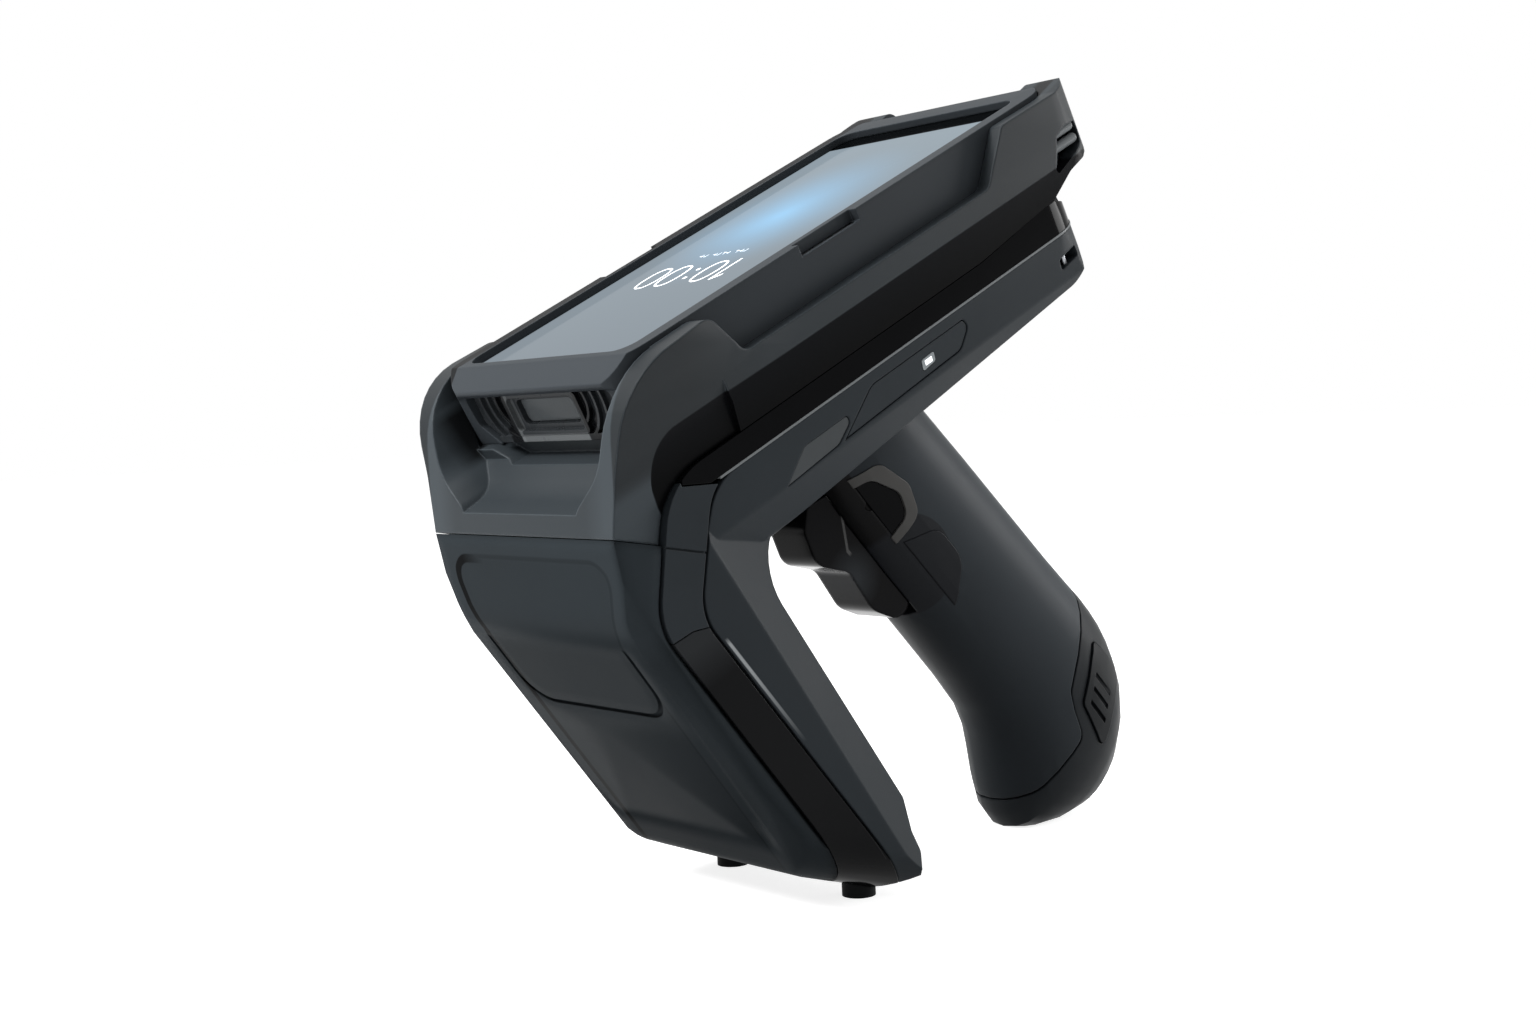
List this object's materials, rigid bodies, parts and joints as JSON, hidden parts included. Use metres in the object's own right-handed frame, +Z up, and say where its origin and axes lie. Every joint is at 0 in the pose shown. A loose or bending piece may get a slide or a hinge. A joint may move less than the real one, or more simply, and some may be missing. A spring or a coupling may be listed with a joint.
{
  "type": "handheld rfid reader",
  "caption": "Handheld RFID reader: pistol grip with trigger, forward antenna leg and a deck cradle that holds a phone in a rubber boot",
  "frame": {"origin": "centre of the bounding box's underside, where the leg's feet and the grip's toe rest", "axes": "+X to the object's left, +Y rearwards to the grip, +Z up as the object stands on its feet and grip"},
  "size_m": [0.1, 0.2128, 0.218],
  "materials": {
    "charcoal_plastic": "fine moulded texture, matte",
    "gloss_black": "polished piano black",
    "grip_plastic": "soft-touch coating, matte",
    "soft_rubber": "smooth rubber",
    "black_plastic": "plain moulded",
    "grey_trim": "satin grey",
    "screen_glass": "polished cover glass over the display",
    "light_pipe": "clear to milky light pipe",
    "steel": "plated steel",
    "contact_brass": "plated contacts",
    "antenna_ceramic": "ceramic-filled laminate",
    "board_green": "solder mask",
    "cell_wrap": "shrink wrap"
  },
  "bodies": {
    "sled": {"device_cradle": "charcoal_plastic", "cradle_screws": "steel", "release_springs": "steel", "contact_block": "black_plastic", "deck_frame": "gloss_black", "nose_frame": "charcoal_plastic", "leg_frame": "gloss_black", "trim_strip": "grey_trim", "lower_shell": "charcoal_plastic", "deck_gasket": "soft_rubber", "rear_clip": "black_plastic", "strap_bars": "steel", "antenna_cover": "charcoal_plastic", "antenna_patch": "antenna_ceramic", "ground_plane": "contact_brass", "patch_spacers": "antenna_ceramic", "status_panels": "gloss_black", "status_light": "light_pipe", "side_windows": "grey_trim", "main_board": "board_green", "rf_shield": "steel", "beeper": "black_plastic", "rubber_feet": "soft_rubber", "grip_housing": "grip_plastic", "grip_pads": "soft_rubber", "trigger_bezel": "gloss_black", "trigger_rings": "grey_trim", "trigger_pin": "steel", "trigger_switch": "black_plastic", "battery_contacts": "contact_brass", "housing_screws": "steel"},
    "device": {"phone_body": "black_plastic", "phone_glass": "screen_glass", "rubber_boot": "soft_rubber", "scan_bezel": "black_plastic", "scan_window": "screen_glass"},
    "key_left": {"side_key_left": "grey_trim"},
    "key_right": {"side_key_right": "grey_trim"},
    "release": {"release_latch": "charcoal_plastic"},
    "trigger_body": {"trigger": "gloss_black", "trigger_spring": "steel"},
    "battery": {"battery_case": "black_plastic", "battery_cells": "cell_wrap", "battery_cap": "grip_plastic", "latch_springs": "steel"},
    "latch_left": {"latch_button_left": "grip_plastic"},
    "latch_right": {"latch_button_right": "grip_plastic"}
  },
  "joints": [
    {"name": "device_lift", "type": "slide", "parent": "sled", "child": "device", "axis": [0, -0.4384, 0.8988], "range_m": [0, 0.04]},
    {"name": "key_left_press", "type": "slide", "parent": "device", "child": "key_left", "axis": [-1, 0, 0], "range_m": [0, 0.0006], "stiffness_N_per_m": 600, "springref_m": -0.0004},
    {"name": "key_right_press", "type": "slide", "parent": "device", "child": "key_right", "axis": [1, 0, 0], "range_m": [0, 0.0006], "stiffness_N_per_m": 600, "springref_m": -0.0004},
    {"name": "release_press", "type": "slide", "parent": "sled", "child": "release", "axis": [0, 0.4384, -0.8988], "range_m": [0, 0.003], "stiffness_N_per_m": 400, "springref_m": -0.001},
    {"name": "trigger_pull", "type": "hinge", "parent": "sled", "child": "trigger_body", "pos_m": [0, -0.00076, 0.102], "axis": [1, 0, 0], "range_deg": [0, 8], "stiffness_Nm_per_rad": 0.35, "springref_deg": -8.59},
    {"name": "battery_slide", "type": "slide", "parent": "sled", "child": "battery", "axis": [0, 0.7009, -0.7133], "range_m": [0, 0.075]},
    {"name": "latch_left_press", "type": "slide", "parent": "battery", "child": "latch_left", "axis": [-1, 0, 0], "range_m": [0, 0.0015], "stiffness_N_per_m": 500, "springref_m": -0.0006},
    {"name": "latch_right_press", "type": "slide", "parent": "battery", "child": "latch_right", "axis": [1, 0, 0], "range_m": [0, 0.0015], "stiffness_N_per_m": 500, "springref_m": -0.0006}
  ]
}
